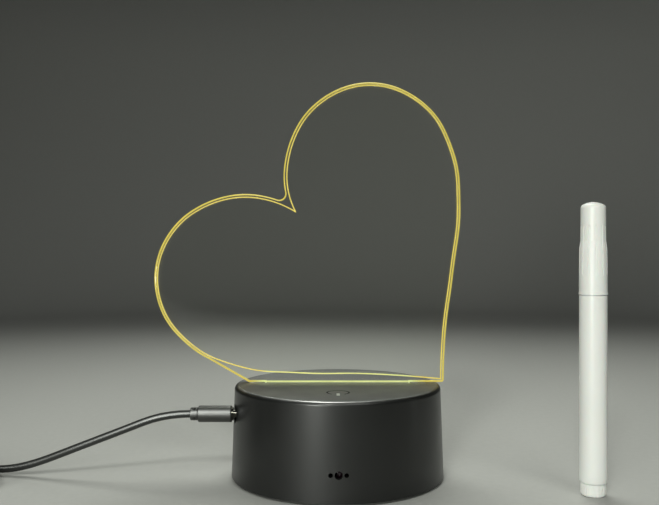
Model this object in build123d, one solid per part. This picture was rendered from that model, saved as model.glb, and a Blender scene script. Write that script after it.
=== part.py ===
from build123d import *
import math
import os

import numpy as np

# A clear heart-shaped writing plate that stands in the slot of a round lamp base and is lit
# from below, with its power lead and its marker. Millimetres, +Z up, the front towards -Y.
# The origin is on the table, under the middle of the base.

# Base housing, as wide as the battery bay needs and as high as the stack inside it
foot_height = 1.2  # table to bottom rim
wall = 2.2
roof = 2.5
base_lean = 1.3  # how far the wall leans in between its rim and the top
bay_corner_gap = 2.65  # between the bay's corners and the wall
board_room = 2.3  # between the bay and the circuit board
headroom = 4.1  # between the power jack and the roof
edge_radius = 1.6
overrun = 1.0  # how far a cut runs past the face it opens
seat_gap = 0.15  # between pieces that are screwed together

# Bottom cover with its battery bay
cover_thickness = 2.4
cover_ledge = 1.0  # how deep the cover's seat is cut into the wall
post_diameter = 6.0
post_wall_gap = 2.8  # from a post's middle to the inside of the wall
post_bay_gap = 0.22
foot_pad_diameter = 8.0
foot_pad_inset = 7.5  # from a pad's middle to the rim
foot_pad_sink = 0.4

# Cells and their bay
cell_diameter = 14.2
cell_length = 50.5
cell_side_gap = 0.4  # between neighbouring cells
cell_gap = 0.3
bay_end_room = 6.5  # length of the bay beyond its cells
bay_wall = 1.8
bay_ceiling = 1.4
door_thickness = 1.4
door_lap = 1.0  # how far the door lies over the bay's wall ends
door_gap = 0.3

# Screws
screw_head_diameter = 4.2
screw_head_height = 1.4
screw_shank_diameter = 2.0
screw_gap = 0.2

# Writing plate
plate_thickness = 4.0
plate_middle = 2.5  # middle plane of the plate behind the base's axis
heart_width = 124.7
heart_height = 121.8
heart_tip_x = 42.8  # heart's point to the right of the base's axis
heart_tip_rise = 1.4  # heart's point above the shoulders of the plate
shoulder_gap = 0.3
line_inset = 1.35  # engraved line inside the plate's edge
line_width = 0.5
line_depth = 0.5
arris = 0.45  # chamfer round both faces of the plate, which the light makes visible
notch_radius = 2.6
corner_radius = 1.1
foot_overhang = 6.8  # how far the plate's straight foot reaches past its tongue on the left
tongue_margin = 12.2  # from the tongue's end to the side of the base's top
tongue_depth = 8.9  # how far the plate reaches below the top face
slot_gap = 0.3

# Light bar under the slot
guide_wall = 2.0
led_board_thickness = 1.0
led_count = 7
led_size = (3.5, 2.8, 1.9)

# Circuit board
board_thickness = 1.6
board_right_lap = 1.5  # how far it reaches past the bay's inner end
board_guide_gap = 2.7  # to the light bar
board_edge_gap = 2.2  # to the inside of the wall
boss_diameter = 5.0
post_gap = 0.6  # round the cover's posts

# Remote receiver behind three holes in the front wall
receiver_height = 11.5
receiver_hole_diameter = 3.0
receiver_side_hole_diameter = 1.7
receiver_hole_pitch = 2.9
receiver_gap = 0.3  # to the inside of the wall

# Touch key: a spring that presses on the inside of the roof
touch_key_inset = 15.2  # from the front of the roof to the middle of the key
touch_spring_diameter = 7.0
touch_wire = 0.6

# Power jack in the left of the wall
jack_setback = 10.0  # in front of the base's axis
jack_nose_diameter = 7.2
jack_hole_gap = 0.4  # between the jack's nose and the wall
jack_size = (14.0, 9.0, 8.2)
jack_bore_gap = 0.1  # between the plug's sleeve and the bore
jack_gap = 0.3  # to the inside of the wall

# Power lead
plug_diameter = 6.6
plug_length = 13.4
plug_standoff = 1.1  # bare metal between the housing and the plug
collar_diameter = 5.2
collar_length = 3.2
slot_turn = 54.0  # degrees from the front up to the collar's first slot
barrel_plug_diameter = 3.5
barrel_plug_length = 11.0
cord_diameter = 3.1
coil_turns = 7.25
coil_radius = 24.0  # middle of the outermost turn
coil_gap = 0.45  # between turns and between layers
tie_thickness = 0.8
tie_width = 4.0
tie_gap = 0.5

# Charger plug at the lead's other end
usb_body = (15.5, 31.0, 8.0)
usb_shell = (12.1, 14.5, 4.5)
usb_sheet = 0.35
usb_relief_length = 8.0

# Marker, standing on its tail
pen_x = 96.6
pen_y = -28.3
pen_length = 111.0
cap_length = 35.0
barrel_diameter = 10.3
barrel_flare = 0.25  # how much wider the barrel is at its tail
barrel_wall = 1.05
cap_grip_step = 0.15  # how much narrower the cap's grip starts than the barrel
cap_lip = 0.5  # how much wider its mouth is than the start of its grip
cap_taper = 0.9  # how much narrower its top is than the start of its grip
cap_crown = 1.5  # rise of its domed top, and the radius round it
cap_mouth_length = 0.8
spigot_step = 0.2  # how far the spigot's wall stands out from the bore
seat_height = 1.4  # sloped end of the barrel's bore
reservoir_gap = 0.6
cap_gap = 0.3  # between the cap's mouth and the barrel
cap_end = 2.5  # thickness of the cap's closed end
tail_step = 1.0  # how much narrower the tail plug is than the barrel
tail_length = 4.8
rib_count = 12
rib_turn = -6.0  # degrees from the front to the first groove
nib_diameter = 2.9

# Bay and base, as they follow from these
cell_pitch = cell_diameter + cell_side_gap
bay_length = cell_length + bay_end_room
bay_width = 3 * cell_pitch + 2 * cell_gap
bay_half_x = bay_length / 2 + bay_wall
bay_half_y = bay_width / 2 + bay_wall
inner_radius = math.hypot(bay_half_x, bay_half_y) + bay_corner_gap
base_diameter = 2 * (inner_radius + wall)
base_top_diameter = base_diameter - 2 * base_lean

# Heights, from the table upwards
door_top = foot_height + door_thickness
door_seat = door_top + door_gap
cell_axis = door_seat + cell_gap + cell_diameter / 2
bay_top = cell_axis + cell_diameter / 2 + cell_gap
board_underside = bay_top + bay_ceiling + board_room
board_top = board_underside + board_thickness
jack_height = board_top + jack_size[2] / 2
top_under = board_top + jack_size[2] + headroom
base_height = top_under + roof
shoulder = base_height + shoulder_gap
tip_height = shoulder + heart_tip_rise

# Plate, slot and board
plate_front = plate_middle - plate_thickness / 2
tongue_width = base_top_diameter - 2 * tongue_margin
slot_width = plate_thickness + 2 * slot_gap
slot_length = tongue_width + 2 * slot_gap
board_right = bay_length / 2 + board_right_lap
board_back = plate_middle - slot_width / 2 - guide_wall - board_guide_gap
touch_key_setback = base_top_diameter / 2 - touch_key_inset

# Round fits
jack_hole_diameter = jack_nose_diameter + 2 * jack_hole_gap
jack_bore_diameter = barrel_plug_diameter + 2 * jack_bore_gap
barrel_tail_diameter = barrel_diameter + barrel_flare
barrel_bore = barrel_diameter - 2 * barrel_wall
tail_diameter = barrel_diameter - tail_step
cap_grip_diameter = barrel_diameter - cap_grip_step
cap_mouth_diameter = cap_grip_diameter + cap_lip
cap_top_diameter = cap_grip_diameter - cap_taper


def rod(radius, start, end):
    # Round bar from one point to another
    run = Vector(*end) - Vector(*start)
    return extrude(Plane(origin=start, z_dir=run) * Circle(radius), amount=run.length)


def block(x_range, y_range, z_range):
    # Box between three pairs of limits
    spans = [pair[1] - pair[0] for pair in (x_range, y_range, z_range)]
    middle = [(pair[0] + pair[1]) / 2 for pair in (x_range, y_range, z_range)]
    return Pos(*middle) * Box(*spans)


def turned(points, x=0, y=0):
    # Solid of revolution about an upright axis, from points of radius and height
    return Pos(x, y, 0) * revolve(Plane.XZ * make_face(Polyline(*points, close=True)), Axis.Z)


def housing_radius(z):
    # The wall leans in evenly from the rim to the top
    share = (z - foot_height) / (base_height - foot_height)
    return (base_diameter + (base_top_diameter - base_diameter) * share) / 2


def tube_path(points, diameter, name):
    # Straight runs joined by arcs, each as large as its two shorter runs allow
    places = [Vector(*point) for point in points]
    radii = []
    for a, b, c in zip(places, places[1:], places[2:]):
        turn = math.radians((b - a).get_angle(c - b))
        radii.append(0.45 * min((b - a).length, (c - b).length) / math.tan(turn / 2))
    print(name, "radii in diameters", [round(radius / diameter, 1) for radius in radii])
    return FilletPolyline(*points, radius=radii)


def tube(path, diameter, name):
    # Round tube along a path, with its volume compared with section times length
    ring = Plane(origin=path @ 0, z_dir=path % 0) * Circle(diameter / 2)
    solid = sweep(ring, path=path)
    share = solid.volume / (math.pi * diameter**2 / 4 * path.length)
    print(name, "length", round(path.length, 1), "volume share", round(share, 4))
    return solid


def biarcs(points, tangents):
    # Pairs of arcs through points whose tangents are known, smooth at every join
    edges = []
    for p0, p1, t0, t1 in zip(points, points[1:], tangents, tangents[1:]):
        run = p1 - p0
        both = t0 + t1
        bend = 2 * (1 - t0 @ t1)
        reach = run @ run / (run @ both + ((run @ both) ** 2 + bend * (run @ run)) ** 0.5)
        middle = (p0 + p1 + reach * (t0 - t1)) / 2
        heading = p1 - reach * t1 - p0 - reach * t0
        edges.append(Edge.make_tangent_arc(Vector(*p0), Vector(*t0), Vector(*middle)))
        edges.append(Edge.make_tangent_arc(Vector(*middle), Vector(*heading), Vector(*p1)))
    return edges


def unit(rows):
    return rows / np.linalg.norm(rows, axis=-1, keepdims=True)


def arcs_through(points):
    # At each point the tangent of the circle through it and its neighbours
    points = np.array([(*point, 0) for point in points], float)
    run = np.diff(points, axis=0)
    even = run / (run**2).sum(axis=1, keepdims=True)
    inner = unit(even[:-1] + even[1:])
    chord = unit(run)
    first = 2 * (inner[0] @ chord[0]) * chord[0] - inner[0]
    last = 2 * (inner[-1] @ chord[-1]) * chord[-1] - inner[-1]
    return biarcs(points, np.vstack([first, inner, last]))


def least_gap(points, diameter):
    # Least distance between stretches of a wire more than half a turn apart, less its diameter
    step = np.linalg.norm(np.diff(points, axis=0), axis=1)
    along = np.concatenate([[0], np.cumsum(step)])
    apart = np.linalg.norm(points[:, None] - points[None], axis=2)
    far = np.abs(along[:, None] - along[None]) > 4 * diameter
    return apart[far].min() - diameter


# Base: housing, cover and what closes it


def base_shell():
    outside = turned(
        [
            (0, foot_height),
            (base_diameter / 2, foot_height),
            (base_top_diameter / 2, base_height),
            (0, base_height),
        ]
    )
    outside = fillet(outside.edges().group_by(Axis.Z)[-1], edge_radius)
    open_end = foot_height - overrun
    hollow = turned(
        [
            (0, open_end),
            (housing_radius(open_end) - wall, open_end),
            (housing_radius(top_under) - wall, top_under),
            (0, top_under),
        ]
    )
    cover_top = foot_height + cover_thickness
    seat = rod(inner_radius + cover_ledge, (0, 0, 0), (0, 0, cover_top))
    shell = outside - hollow - seat
    posts = [(post_diameter, x, y, cover_top) for x, y in cover_post_places()]
    posts += [(boss_diameter, x, y, board_top) for x, y in board_boss_places()]
    posts += [(boss_diameter, x, y, guide_ear_top()) for x, y in guide_boss_places()]
    for diameter, x, y, low in posts:
        shell += rod(diameter / 2, (x, y, low), (x, y, top_under)) & outside
    for diameter, x, y, low in posts:
        high = min(low + screw_reach() + overrun, top_under)
        shell -= rod(screw_shank_diameter / 2, (x, y, low - overrun), (x, y, high))
    shell -= block(
        (-slot_length / 2, slot_length / 2),
        (plate_middle - slot_width / 2, plate_middle + slot_width / 2),
        (top_under - overrun, base_height + overrun),
    )
    shell -= receiver_holes()
    return shell - jack_hole()


def cover_post_places():
    # Beyond the bay's long sides, close to the wall
    y = bay_half_y + post_bay_gap + post_diameter / 2
    x = math.sqrt((inner_radius - post_wall_gap) ** 2 - y**2)
    return [(-x, -y), (x, -y), (x, y), (-x, y)]


def foot_pad_places():
    radius = base_diameter / 2 - foot_pad_inset
    return [(radius, 0), (0, radius), (-radius, 0), (0, -radius)]


def receiver_holes():
    # One round window and a smaller hole on each side of it
    cuts = []
    for side in (-1, 0, 1):
        x = side * receiver_hole_pitch
        diameter = receiver_side_hole_diameter if side else receiver_hole_diameter
        start = (x, -base_diameter / 2 - overrun, receiver_height)
        cuts.append(rod(diameter / 2, start, (x, receiver_front() + overrun, receiver_height)))
    return Compound(cuts)


def jack_hole():
    inside = (jack_front() + overrun, -jack_setback, jack_height)
    outside = (-base_diameter / 2 - overrun, -jack_setback, jack_height)
    return rod(jack_hole_diameter / 2, outside, inside)


def screw_reach():
    # Length of a screw's thread in its post
    return 3 * screw_shank_diameter


def screw(x, y, seat):
    # Pan-head screw driven upwards, its head hanging below the seat
    head = rod(screw_head_diameter / 2, (x, y, seat - screw_head_height), (x, y, seat))
    head = fillet(head.edges().group_by(Axis.Z)[0], screw_head_height / 3)
    slot_wide = screw_head_diameter / 6
    slot = block(
        (x - screw_head_diameter, x + screw_head_diameter),
        (y - slot_wide / 2, y + slot_wide / 2),
        (seat - screw_head_height - overrun, seat - screw_head_height * 0.6),
    )
    shank_radius = screw_shank_diameter / 2 - screw_gap / 4
    shank = rod(shank_radius, (x, y, seat), (x, y, seat + screw_reach()))
    return head - slot + shank


def cover_screw_seat():
    return foot_height + cover_thickness * 0.6


def bottom_cover():
    # Disc with a battery bay that stands up into the housing
    radius = inner_radius + cover_ledge - seat_gap
    floor = foot_height + cover_thickness - seat_gap / 3
    disc = rod(radius, (0, 0, foot_height), (0, 0, floor))
    half_x, half_y = bay_length / 2, bay_width / 2
    box = block(
        (-bay_half_x, bay_half_x), (-bay_half_y, bay_half_y), (foot_height, bay_top + bay_ceiling)
    )
    box = fillet(box.edges().filter_by(Axis.Z), bay_wall / 2)
    cover = disc + box
    below = foot_height - overrun
    cover -= block((-half_x, half_x), (-half_y, half_y), (below, bay_top))
    lap = door_lap + door_gap
    cover -= block((-half_x - lap, half_x + lap), (-half_y - lap, half_y + lap), (below, door_seat))
    for x in hook_places():
        cover -= block(
            (x - hook_width() / 2 - door_gap, x + hook_width() / 2 + door_gap),
            (half_y - overrun, half_y + lap + hook_reach()),
            (foot_height + hook_low() - door_gap, foot_height + hook_low() + hook_reach() * 2),
        )
    cover -= finger_notch()
    for x, y in cover_post_places():
        cover -= rod(screw_shank_diameter / 2 + screw_gap, (x, y, 0), (x, y, floor + overrun))
        cover -= rod(screw_head_diameter / 2 + screw_gap, (x, y, 0), (x, y, cover_screw_seat()))
    for x, y in foot_pad_places():
        cover -= rod(foot_pad_diameter / 2, (x, y, 0), (x, y, foot_height + foot_pad_sink))
    for end in (-1, 1):
        cover -= contact_room(end)
    return cover


def rubber_feet():
    pads = []
    for x, y in foot_pad_places():
        pad = rod(foot_pad_diameter / 2, (x, y, 0), (x, y, foot_height + foot_pad_sink))
        pads.append(fillet(pad.edges().group_by(Axis.Z)[0], foot_height / 3))
    return Compound(pads)


def cover_screws():
    return Compound([screw(x, y, cover_screw_seat()) for x, y in cover_post_places()])


# Battery door: two hooks on its rear edge, a finger notch and a catch on its front edge


def hook_width():
    return bay_length / 9


def hook_places():
    return (-bay_length / 4, bay_length / 4)


def hook_low():
    # Underside of a hook above the rim
    return door_thickness * 0.7


def hook_reach():
    return door_lap + door_gap


def finger_notch():
    # Half-round recess for a fingertip in front of the door
    y = -bay_width / 2 - door_lap - door_gap
    depth = cover_thickness / 3
    return rod(bay_width / 10, (0, y, foot_height - overrun), (0, y, foot_height + depth))


def battery_door():
    half_x, half_y = bay_length / 2 + door_lap, bay_width / 2 + door_lap
    door = block((-half_x, half_x), (-half_y, half_y), (foot_height, door_top))
    door = fillet(door.edges().filter_by(Axis.Z), door_lap)
    for x in hook_places():
        low = foot_height + hook_low()
        door += block(
            (x - hook_width() / 2, x + hook_width() / 2),
            (half_y - bay_wall, half_y + hook_reach()),
            (low, low + door_thickness * 0.7),
        )
    # Stiffening ribs across the inside, between the cells
    for i in (-0.5, 0.5):
        middle = i * cell_pitch
        door += block(
            (-half_x * 0.8, half_x * 0.8),
            (middle - door_thickness / 2, middle + door_thickness / 2),
            (door_top, door_top + door_gap + cell_diameter / 12),
        )
    # Grip ribs on the catch
    for i in range(4):
        y = -half_y + door_lap + (i + 1) * door_thickness * 1.5
        door -= block(
            (-bay_length / 9, bay_length / 9),
            (y, y + door_thickness / 2),
            (0, foot_height + door_thickness / 4),
        )
    # Spring catch, cut free on both sides
    slit = door_thickness / 2
    reach = bay_width / 5
    for side in (-1, 1):
        x = side * bay_length / 7
        door -= block(
            (x - slit / 2, x + slit / 2),
            (-half_y - overrun, -half_y + reach),
            (0, door_top + overrun),
        )
    return door


# Cells and their contacts


def cell_rows():
    # Place across the bay, and which way the button end points
    return [(-cell_pitch, 1), (0, -1), (cell_pitch, 1)]


def plate_sheet():
    return bay_wall / 4


def contact_face():
    # Inner face of a contact sheet, from the middle of the bay
    return bay_length / 2 - plate_sheet()


def cell_ends(way):
    # Button tip and flat end of a cell along X
    tip = way * (contact_face() - cell_gap / 3)
    return tip, tip - way * cell_length


def aa_cells():
    cells = []
    for y, way in cell_rows():
        tip, flat = cell_ends(way)
        neck = tip - way * cell_length / 50
        can = rod(cell_diameter / 2, (flat, y, cell_axis), (neck, y, cell_axis))
        can = fillet(can.edges().filter_by(GeomType.CIRCLE), cell_diameter / 24)
        button = rod(cell_diameter * 0.19, (neck - way * cell_gap, y, cell_axis), (tip, y, cell_axis))
        cells.append(can + button)
    return Compound(cells)


def contact_room(end):
    # Shallow seat in the bay's end wall for the contact sheets
    face = end * (bay_length / 2)
    back = end * (bay_length / 2 + seat_gap)
    return block(
        (min(face, back), max(face, back)),
        (-bay_width / 2, bay_width / 2),
        (cell_axis - cell_pitch / 3, bay_top),
    )


def contact_plates():
    # One single and one double sheet at each end, so that the cells are in series
    sheets = []
    for end, groups in ((-1, ((0,), (1, 2))), (1, ((0, 1), (2,)))):
        for group in groups:
            rows = [cell_rows()[i][0] for i in group]
            back = end * bay_length / 2
            face = end * contact_face()
            sheets.append(
                block(
                    (min(back, face), max(back, face)),
                    (min(rows) - cell_pitch * 0.35, max(rows) + cell_pitch * 0.35),
                    (cell_axis - cell_pitch / 3, cell_axis + cell_pitch / 3),
                )
            )
    return Compound(sheets)


def spring(start, along, length, radius_0, radius_1, wire, turns, name):
    # Compression spring along an axis, on half-turn pairs of arcs
    start, along = np.array(start), np.array(along, float)
    side = np.array([along[1], along[2], along[0]])
    up = np.cross(along, side)
    t = np.linspace(0, 1, int(turns * 2) + 1)

    def places(s):
        angle = 2 * math.pi * turns * s
        radius = radius_0 + (radius_1 - radius_0) * s
        ring = np.cos(angle)[:, None] * side + np.sin(angle)[:, None] * up
        return start + (wire / 2 + (length - wire) * s)[:, None] * along + radius[:, None] * ring

    small = 1e-5
    tangents = unit(places(t + small) - places(t - small))
    print(name, "least gap", round(least_gap(places(np.linspace(0, 1, 400)), wire), 2))
    return tube(Wire(biarcs(places(t), tangents)), wire, name)


def contact_springs():
    wire = cell_diameter / 20
    radii = (cell_diameter * 0.28, cell_diameter * 0.17)
    coils = []
    for y, way in cell_rows():
        flat = cell_ends(way)[1]
        face = -way * contact_face()
        start = (face, y, cell_axis)
        coils.append(spring(start, (way, 0, 0), abs(flat - face), *radii, wire, 3.5, "contact spring"))
    return Compound(coils)


# Light bar: a channel under the slot that carries the lamps


def tongue_low():
    return base_height - tongue_depth


def led_board_low():
    return tongue_low() - slot_gap * 2 - led_size[2] - led_board_thickness


def guide_ear_top():
    return top_under - guide_wall * 2.4


def guide_boss_places():
    x = slot_length / 2 + guide_wall + boss_diameter * 0.6
    return [(-x, plate_middle), (x, plate_middle)]


def slot_guide():
    half_x = slot_length / 2 + guide_wall
    half_y = slot_width / 2 + guide_wall
    low = led_board_low()
    guide = block((-half_x, half_x), (plate_middle - half_y, plate_middle + half_y), (low, top_under))
    ear_top = guide_ear_top()
    ear_low = ear_top - guide_wall
    ear_radius = half_y * 0.8
    for x, y in guide_boss_places():
        edge = math.copysign(half_x, x)
        guide += rod(ear_radius, (x, y, ear_low), (x, y, ear_top))
        guide += block((min(edge, x), max(edge, x)), (y - ear_radius, y + ear_radius), (ear_low, ear_top))
        guide -= rod(screw_shank_diameter / 2 + screw_gap, (x, y, low), (x, y, ear_top + overrun))
    guide -= block(
        (-slot_length / 2, slot_length / 2),
        (plate_middle - slot_width / 2, plate_middle + slot_width / 2),
        (low - overrun, top_under + overrun),
    )
    wide = led_board_width() / 2 + seat_gap
    guide -= block(
        (-slot_length / 2, slot_length / 2),
        (plate_middle - wide, plate_middle + wide),
        (low - overrun, low + led_board_thickness),
    )
    return guide


def led_board_width():
    return slot_width + guide_wall


def led_board():
    half_x = slot_length / 2 - seat_gap
    half_y = led_board_width() / 2
    low = led_board_low()
    across = (plate_middle - half_y, plate_middle + half_y)
    return block((-half_x, half_x), across, (low, low + led_board_thickness))


def led_chips():
    lamps = []
    pitch = tongue_width / led_count
    low = led_board_low() + led_board_thickness
    for i in range(led_count):
        x = (i - (led_count - 1) / 2) * pitch
        lamp = Pos(x, plate_middle, low + led_size[2] / 2) * Box(*led_size)
        lamps.append(chamfer(lamp.edges().group_by(Axis.Z)[-1], led_size[2] / 8))
    return Compound(lamps)


def guide_screws():
    return Compound([screw(x, y, guide_ear_top() - guide_wall) for x, y in guide_boss_places()])


# Circuit board and what it carries


def board_boss_places():
    # Two near the front edge, 30 degrees to each side, and one in the back right corner
    reach = board_radius() - boss_diameter * 0.85
    side, front = reach / 2, -reach * math.cos(math.radians(30))
    back_corner = (board_right - boss_diameter, board_back - boss_diameter)
    return [(-side, front), (side, front), back_corner]


def board_radius():
    return housing_radius(board_top) - wall - board_edge_gap


def main_board():
    disc = rod(board_radius(), (0, 0, board_underside), (0, 0, board_top))
    keep = block(
        (-inner_radius, board_right), (-inner_radius, board_back), (board_underside, board_top)
    )
    board = disc & keep
    low, high = board_underside - overrun, board_top + overrun
    holes = [(post_diameter / 2 + post_gap, place) for place in cover_post_places()]
    holes += [(screw_shank_diameter / 2 + screw_gap, place) for place in board_boss_places()]
    for radius, (x, y) in holes:
        board -= rod(radius, (x, y, low), (x, y, high))
    half = receiver_leg() / 2 + seat_gap
    y = receiver_leg_y()
    for x in receiver_leg_places():
        board -= block((x - half, x + half), (y - half, y + half), (low, high))
    return board


def board_screws():
    return Compound([screw(x, y, board_underside) for x, y in board_boss_places()])


def controller_chip():
    # Small-outline package with eight legs a side
    length, width, height = board_thickness * 6.2, board_thickness * 2.4, board_thickness
    x = lead_socket_places()[0] - board_thickness * 1.3 - length / 2
    y = board_back - width - board_thickness * 2
    low = board_top + board_thickness / 8
    chip = block((x - length / 2, x + length / 2), (y - width / 2, y + width / 2), (low, low + height))
    for i in range(8):
        leg_x = x + (i - 3.5) * length / 8.5
        for side in (-1, 1):
            near, far = side * width * 0.45, side * width * 0.78
            chip += block(
                (leg_x - length / 50, leg_x + length / 50),
                (y + min(near, far), y + max(near, far)),
                (board_top, low + height / 4),
            )
    return chip


def chip_resistors():
    # A row beside the controller, with a gap as wide as each of them
    length, width, height = board_thickness * 1.25, board_thickness * 0.75, board_thickness * 0.35
    y = -touch_key_setback + touch_spring_diameter
    chips = []
    for i in range(6):
        x = (i - 2.5) * width * 2
        middle = Pos(x, y, board_top + height / 2)
        chips.append(middle * Box(width, length, height))
    return Compound(chips)


def lead_socket_places():
    # Left, right, back and front side of the socket that the lamp board's wires run into
    wide = lead_wire() * 4.2
    right = lead_wire_x(0) + lead_wire() * 0.2
    back = board_back - lead_wire() * 6
    return right - wide, right, back, back - wide


def lead_socket():
    left, right, back, front = lead_socket_places()
    high = board_top + lead_wire() * 3
    socket = block((left, right), (front, back), (board_top, high))
    rim = lead_wire() * 0.6
    key = block((left + rim, right - rim), (front - overrun, front + rim), (high - rim, high + overrun))
    return socket - key


def capacitor():
    # Upright can beside the jack
    radius = board_thickness * 1.9
    x, y = -touch_spring_diameter * 1.8, board_back - radius - board_thickness
    can = rod(radius, (x, y, board_top), (x, y, board_top + radius * 2.6))
    return fillet(can.edges().group_by(Axis.Z)[-1], radius / 8)


def touch_spring():
    place = (0, -touch_key_setback, board_top)
    radius = (touch_spring_diameter - touch_wire) / 2
    return spring(place, (0, 0, 1), top_under - board_top, radius, radius, touch_wire, 5, "touch spring")


def receiver_front():
    # Foremost point of the receiver's lens, just behind the wall
    return -(housing_radius(receiver_height) - wall - receiver_gap)


def receiver_size():
    return receiver_hole_pitch * 2, receiver_hole_pitch * 1.4, receiver_hole_pitch * 2.4


def receiver_leg():
    return receiver_hole_pitch / 6


def receiver_leg_places():
    return [i * receiver_hole_pitch * 0.85 for i in (-1, 0, 1)]


def receiver_leg_y():
    wide, deep, tall = receiver_size()
    return receiver_front() + receiver_hole_pitch * 0.8 + deep / 2


def ir_receiver():
    # Moulded body with a round lens, upside down under the edge of the circuit board
    wide, deep, tall = receiver_size()
    front = receiver_front() + receiver_hole_pitch * 0.8
    low = receiver_height - tall / 2
    body = block((-wide / 2, wide / 2), (front, front + deep), (low, low + tall))
    lens = receiver_hole_pitch * 0.85
    body += Pos(0, receiver_front() + lens, receiver_height) * Sphere(lens)
    return body


def receiver_legs():
    half = receiver_leg() / 2
    y = receiver_leg_y()
    low = receiver_height + receiver_size()[2] / 2
    return Compound(
        [
            block((x - half, x + half), (y - half, y + half), (low, board_top + half))
            for x in receiver_leg_places()
        ]
    )


# Power jack


def jack_front():
    # The jack's square body stops at the inside of the round wall
    half = jack_setback + jack_size[1] / 2
    return -math.sqrt((housing_radius(jack_height) - wall) ** 2 - half**2) + jack_gap


def jack_nose():
    return -math.sqrt(housing_radius(jack_height) ** 2 - jack_setback**2) + wall * 0.7


def dc_jack():
    length, width, height = jack_size
    front = jack_front()
    across = (-jack_setback - width / 2, -jack_setback + width / 2)
    body = block((front, front + length), across, (board_top, board_top + height))
    body = fillet(body.edges().filter_by(Axis.X).group_by(Axis.Z)[-1], height / 10)
    axis = [(x, -jack_setback, jack_height) for x in (jack_nose(), front + length * 0.7, front)]
    body += rod(jack_nose_diameter / 2, axis[0], axis[2])
    mouth = (jack_nose() - overrun, -jack_setback, jack_height)
    return body - rod(jack_bore_diameter / 2, mouth, axis[1])


def jack_pin():
    # Centre pin that the plug's hollow barrel slides over
    radius = jack_bore_diameter / 6
    start = (jack_nose() + radius, -jack_setback, jack_height)
    pin = rod(radius, start, (jack_front() + jack_size[0] * 0.7, -jack_setback, jack_height))
    return fillet(pin.edges().group_by(Axis.X)[0], radius / 2)


# Inner leads


def lead_wire():
    # Thickness of a wire over its insulation
    return board_thickness * 0.7


def lead_wire_x(side):
    return board_right - boss_diameter * 2 - side * lead_wire() * 1.6


def led_leads():
    wire = lead_wire()
    wires = []
    for side in (0, 1):
        x = lead_wire_x(side)
        low = led_board_low() - wire / 2
        rest = board_top + wire / 2
        points = [
            (x, plate_middle, low),
            (x, plate_middle - slot_width, low - wire * 0.1),
            (x - wire, board_back - wire * 2, rest),
            (x - wire, board_back - wire * 6, rest),
        ]
        wires.append(tube(tube_path(points, wire, "led lead"), wire, "led lead"))
    return Compound(wires)


def battery_leads():
    wire = lead_wire()
    edge = bay_half_x
    wires = []
    for row in (-1, 1):
        y = -cell_pitch + row * wire
        points = [
            (edge, y, cell_axis),
            (edge + wire * 4, y, cell_axis),
            (edge + wire * 5, y + wire * 0.2, board_underside),
            (edge + wire * 0.5, y + wire * 0.4, board_top + wire * 5),
            (edge - wire * 6, y, board_top + wire * 4),
            (edge - wire * 6, y, board_top),
        ]
        wires.append(tube(tube_path(points, wire, "battery lead"), wire, "battery lead"))
    return Compound(wires)


# Writing plate: a heart tilted so that its point is low on the right. Shares of the
# heart's width and height, first from the notch round the left lobe to the point,
# then up the right side and round the right lobe back to the notch.
left_lobe_shares = [
    (0.460, 0.569),
    (0.388, 0.603),
    (0.293, 0.619),
    (0.190, 0.600),
    (0.065, 0.515),
    (0.002, 0.370),
    (0.020, 0.240),
    (0.122, 0.111),
    (0.293, 0.037),
    (0.480, 0.020),
    (0.710, 0.017),
    (0.943, 0.000),
]
right_lobe_shares = [
    (0.943, 0.000),
    (0.950, 0.160),
    (0.975, 0.360),
    (0.999, 0.580),
    (0.983, 0.753),
    (0.891, 0.924),
    (0.710, 1.000),
    (0.528, 0.926),
    (0.440, 0.765),
    (0.434, 0.650),
    (0.460, 0.569),
]
foot_flare_share = (0.150, 0.079)  # where the foot's slanted side meets the left lobe


def heart_point(share):
    # The shares are taken from the heart's left side and from its point
    tip_share = left_lobe_shares[-1][0]
    return heart_tip_x + (share[0] - tip_share) * heart_width, tip_height + share[1] * heart_height


def heart_face(grow=0):
    # Face inside the engraved line, grown or shrunk all round
    left = arcs_through([heart_point(share) for share in left_lobe_shares])
    right = arcs_through([heart_point(share) for share in right_lobe_shares])
    face = make_face([*left, *right])
    return offset(face, amount=grow, kind=Kind.ARC) if grow else face


def plate_outline():
    # The plate's edge runs beside the heart, and below it widens into a straight foot
    tip = heart_point(left_lobe_shares[-1])
    foot_right = tip[0] + line_inset
    notch = heart_point(left_lobe_shares[0])
    half = tongue_width / 2
    foot = make_face(
        Polyline(
            (-half - foot_overhang, shoulder),
            (foot_right, shoulder),
            (foot_right, tip[1]),
            (tip[0], tip[1] + heart_tip_rise),
            heart_point(foot_flare_share),
            close=True,
        )
    )
    face = heart_face(line_inset) + foot
    notch_corner = face.vertices().sort_by_distance(Vector(*notch, 0))[0]
    face = fillet(notch_corner, notch_radius)
    low_corner = face.vertices().sort_by_distance(Vector(foot_right, shoulder, 0))[0]
    face = fillet(low_corner, corner_radius)
    tongue = make_face(
        Polyline(
            (-half, tongue_low()),
            (half, tongue_low()),
            (half, shoulder + heart_tip_rise / 2),
            (-half, shoulder + heart_tip_rise / 2),
            close=True,
        )
    )
    return face + tongue


def writing_plate():
    front = Plane(origin=(0, plate_front, 0), x_dir=(1, 0, 0), z_dir=(0, -1, 0))
    plate = extrude(front * plate_outline(), amount=-plate_thickness)
    broad_sides = plate.faces().sort_by(Axis.Y)
    plate = chamfer(broad_sides[0].edges() + broad_sides[-1].edges(), arris)
    line = heart_face(line_width / 2) - heart_face(-line_width / 2)
    groove = extrude(front.offset(overrun) * line, amount=-overrun - line_depth)
    # A straight line closes the outline where the foot runs down into the slot
    half = tongue_width / 2 + arris
    line_low = shoulder + arris / 4
    foot_line = block(
        (-half, half),
        (plate_front - overrun, plate_front + line_depth),
        (line_low, line_low + line_width),
    )
    return plate - groove - foot_line


# Power lead


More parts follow.
